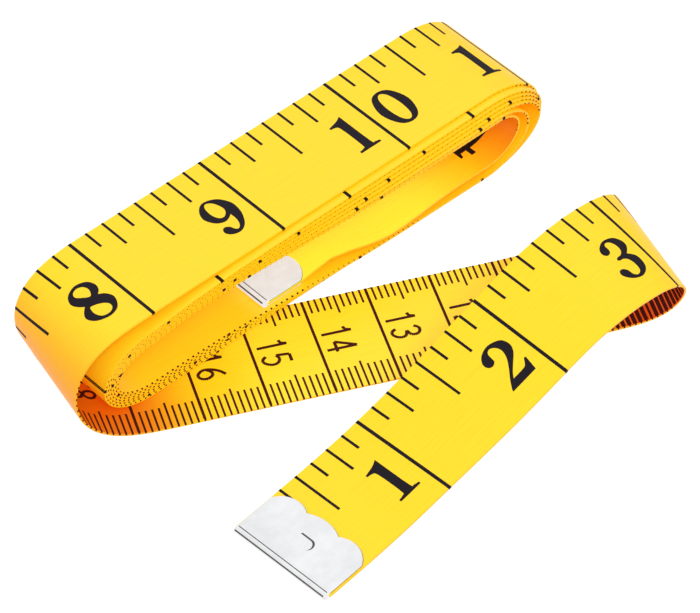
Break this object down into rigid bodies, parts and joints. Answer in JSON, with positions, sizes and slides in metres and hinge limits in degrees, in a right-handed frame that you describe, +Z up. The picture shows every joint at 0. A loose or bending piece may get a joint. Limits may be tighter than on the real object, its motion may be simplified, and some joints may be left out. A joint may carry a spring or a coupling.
{
  "type": "tape measure",
  "caption": "Soft tailor's tape measure: a printed ribbon with metal end clips, wound in a flat oval coil with its first inches led out and folded back.",
  "frame": {"origin": "on the table under the middle of the object's box", "axes": "+X along the coil towards its open right end, +Y across the ribbon towards the coil's far side, +Z up"},
  "size_m": [0.0942, 0.0668, 0.0159],
  "materials": {
    "ribbon": "satin coated fabric with black print on the inch side and the centimetre side",
    "clip": "bright plated sheet"
  },
  "bodies": {
    "base": {"lower_run": "ribbon"},
    "fold_middle": {"right_fold": "ribbon"},
    "front_end": {"front_strip": "ribbon", "start_clip": "clip"},
    "bend_middle": {"left_bend": "ribbon"},
    "coil": {"top_shoulder": "ribbon", "outer_turn": "ribbon", "wound_turns": "ribbon", "loose_turns": "ribbon"},
    "inner_end": {"inner_run": "ribbon", "finish_clip": "clip"}
  },
  "joints": [
    {"name": "fold_lower", "type": "hinge", "parent": "base", "child": "fold_middle", "pos_m": [0.03627, -0.01821, 0.00294], "axis": [0.2541, 0.9668, 0.0276], "range_deg": [0, 85]},
    {"name": "fold_upper", "type": "hinge", "parent": "fold_middle", "child": "front_end", "pos_m": [0.03583, -0.02049, 0.01099], "axis": [0.2422, 0.9659, 0.0913], "range_deg": [0, 85]},
    {"name": "bend_lower", "type": "hinge", "parent": "base", "child": "bend_middle", "pos_m": [-0.04317, 0.02135, 0.00308], "axis": [-0.2267, -0.974, 0], "range_deg": [0, 85]},
    {"name": "bend_upper", "type": "hinge", "parent": "bend_middle", "child": "coil", "pos_m": [-0.04261, 0.02374, 0.01279], "axis": [-0.2267, -0.974, 0], "range_deg": [0, 85]},
    {"name": "inner_lift", "type": "hinge", "parent": "coil", "child": "inner_end", "pos_m": [0.03369, 0.02187, 0.0047], "axis": [0, 1, 0], "range_deg": [-1, 5]}
  ],
  "couplings": [
    {"joint": "fold_upper", "follows": "fold_lower", "ratio": 1},
    {"joint": "bend_upper", "follows": "bend_lower", "ratio": 1}
  ]
}
